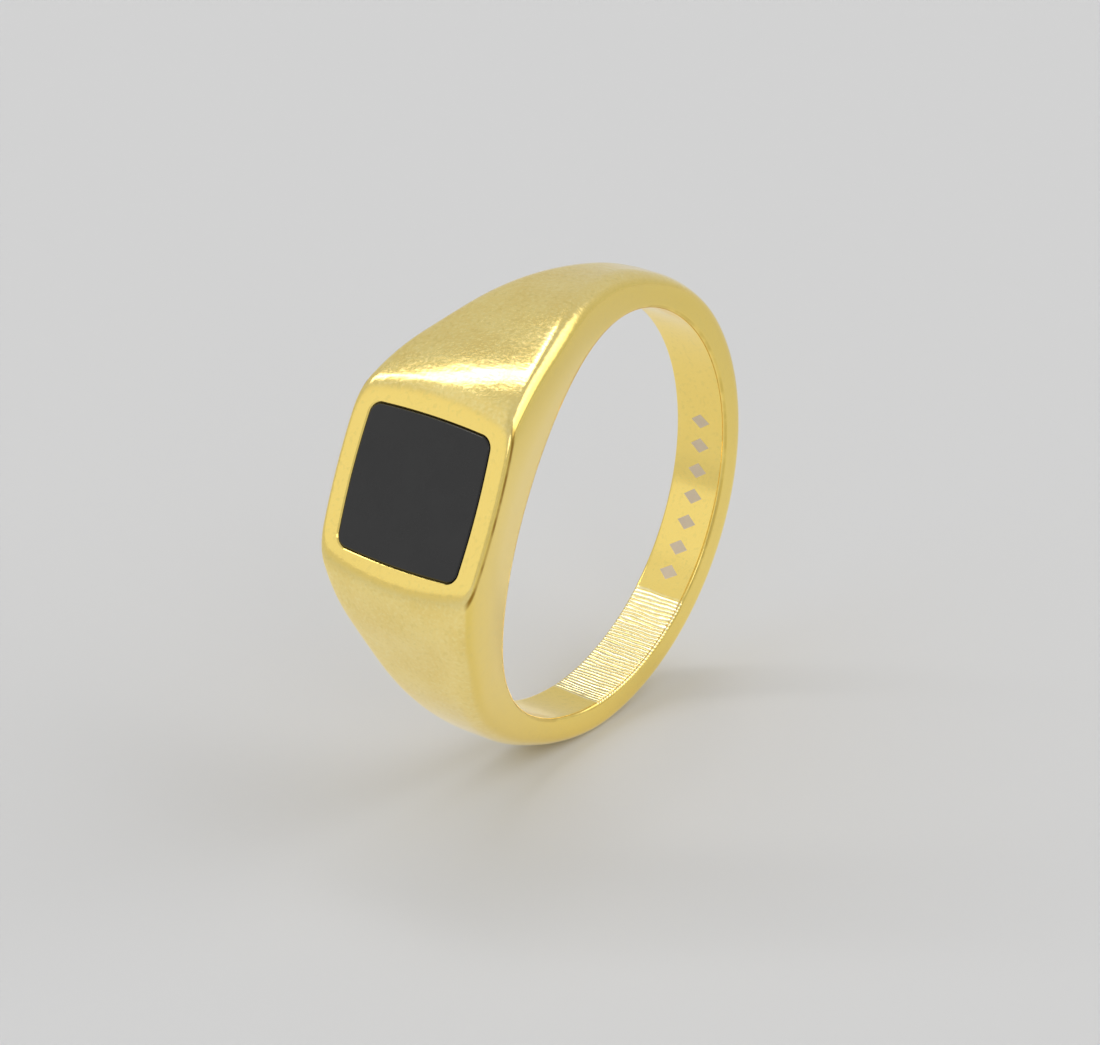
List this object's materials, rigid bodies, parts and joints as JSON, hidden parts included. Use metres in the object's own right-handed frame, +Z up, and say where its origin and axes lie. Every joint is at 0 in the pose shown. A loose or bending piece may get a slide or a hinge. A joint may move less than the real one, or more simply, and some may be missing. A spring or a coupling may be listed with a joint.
{
  "type": "signet ring",
  "caption": "Signet ring: narrow shank, shoulders flaring to a square cushion face with a flush black tablet.",
  "frame": {"origin": "centre of the finger hole", "axes": "+Y along the finger hole; +Z up as the ring stands on the back of its shank; the face looks out along -X, leaning 24 degrees upwards"},
  "size_m": [0.0249, 0.0086, 0.0224],
  "materials": {
    "gold": "satin gold plate over brass",
    "onyx": "polished flush black stone",
    "adhesive": "cured epoxy, hidden"
  },
  "bodies": {
    "root": {"ring_body": "gold", "onyx_inlay": "onyx", "adhesive_bed": "adhesive"}
  },
  "joints": []
}
